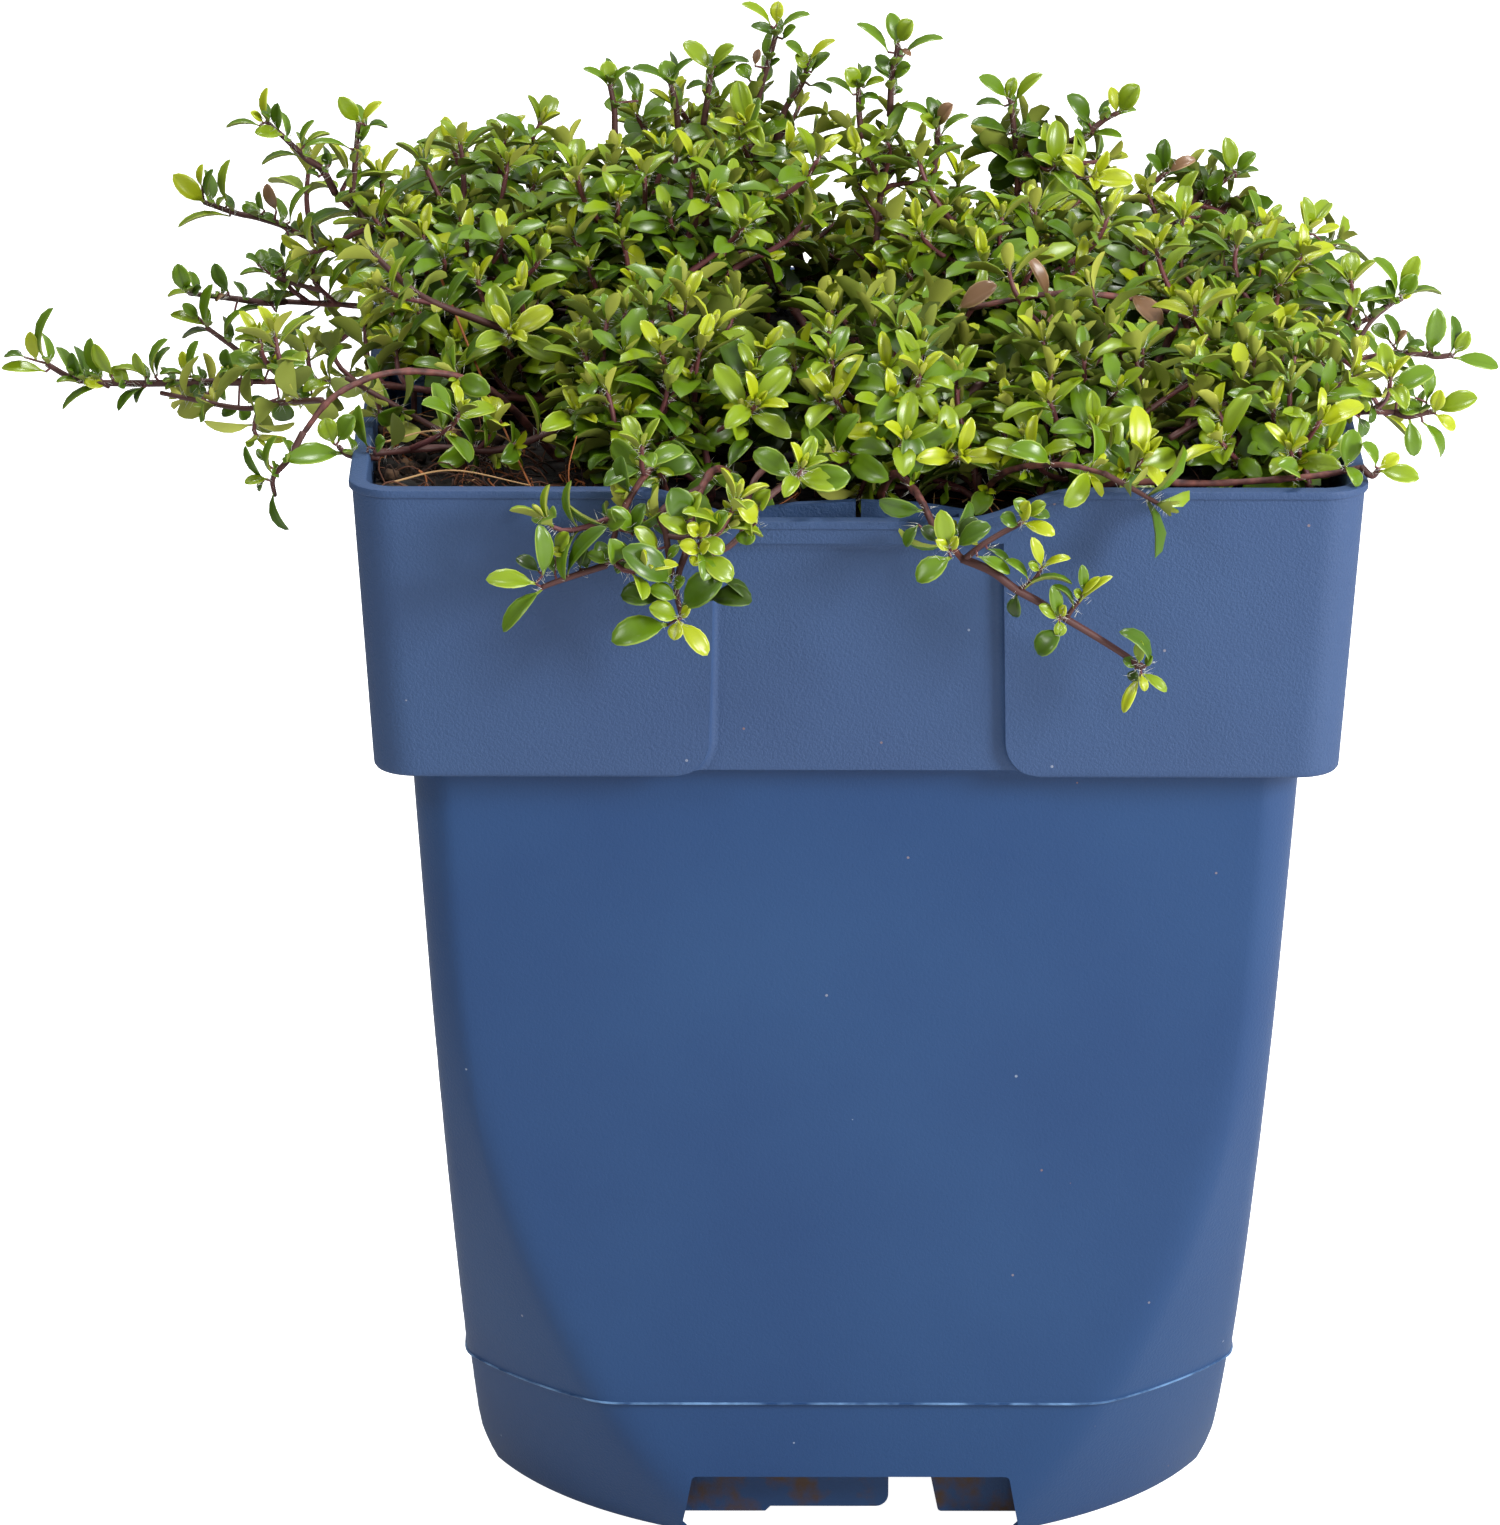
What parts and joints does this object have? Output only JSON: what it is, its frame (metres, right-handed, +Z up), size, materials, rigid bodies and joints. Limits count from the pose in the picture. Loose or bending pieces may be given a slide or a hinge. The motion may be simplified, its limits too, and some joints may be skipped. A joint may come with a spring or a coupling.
{
  "type": "potted creeping thyme",
  "caption": "Low creeping thyme with opposite oval leaves on thin woody runners, growing over the rim of a square plastic nursery pot that tapers to a round foot.",
  "frame": {"origin": "centre of the pot's underside, on the plane that it stands on", "axes": "+Z up along the pot; -Y towards the side that the picture shows; +X to the right of that side"},
  "size_m": [0.1972, 0.1663, 0.1945],
  "materials": {
    "pot_plastic": "satin moulded polypropylene with a fine pebbled grain",
    "compost": "coarse dark coir compost",
    "thyme_stem": "thin reddish-brown bark with fine hairs",
    "thyme_leaf": "waxy semi-gloss leaf"
  },
  "bodies": {
    "root": {"compost": "compost", "cut_stub": "thyme_stem", "limb_arch": "thyme_stem", "limb_back_left": "thyme_stem", "limb_back_right": "thyme_stem", "limb_front_far_left": "thyme_stem", "limb_front_hop": "thyme_stem", "limb_front_left": "thyme_stem", "limb_front_right": "thyme_stem", "limb_left_droop": "thyme_stem", "limb_left_long": "thyme_stem", "limb_left_mid": "thyme_stem", "limb_left_top": "thyme_stem", "limb_left_up": "thyme_stem", "limb_right_far": "thyme_stem", "limb_right_low": "thyme_stem", "limb_right_mid": "thyme_stem", "limb_right_top": "thyme_stem", "limb_right_up": "thyme_stem", "limb_rim_runner": "thyme_stem", "limb_top_a": "thyme_stem", "limb_top_b": "thyme_stem", "mass_back_a": "thyme_leaf", "mass_back_b": "thyme_leaf", "mass_back_c": "thyme_leaf", "mass_back_d": "thyme_leaf", "mass_back_left": "thyme_leaf", "mass_back_right": "thyme_leaf", "mass_front_a": "thyme_leaf", "mass_front_b": "thyme_leaf", "mass_front_c": "thyme_leaf", "mass_front_d": "thyme_leaf", "mass_front_far_left": "thyme_leaf", "mass_front_hop": "thyme_leaf", "mass_front_left": "thyme_leaf", "mass_front_right": "thyme_leaf", "mass_left_droop": "thyme_leaf", "mass_left_long": "thyme_leaf", "mass_left_mid": "thyme_leaf", "mass_left_top": "thyme_leaf", "mass_left_up": "thyme_leaf", "mass_mid_a": "thyme_leaf", "mass_mid_b": "thyme_leaf", "mass_mid_c": "thyme_leaf", "mass_mid_d": "thyme_leaf", "mass_right_back": "thyme_leaf", "mass_right_far": "thyme_leaf", "mass_right_low": "thyme_leaf", "mass_right_mid": "thyme_leaf", "mass_right_rim": "thyme_leaf", "mass_right_top": "thyme_leaf", "mass_right_up": "thyme_leaf", "mass_top_a": "thyme_leaf", "mass_top_b": "thyme_leaf", "pot": "pot_plastic", "woody_base": "thyme_stem"}
  },
  "joints": []
}
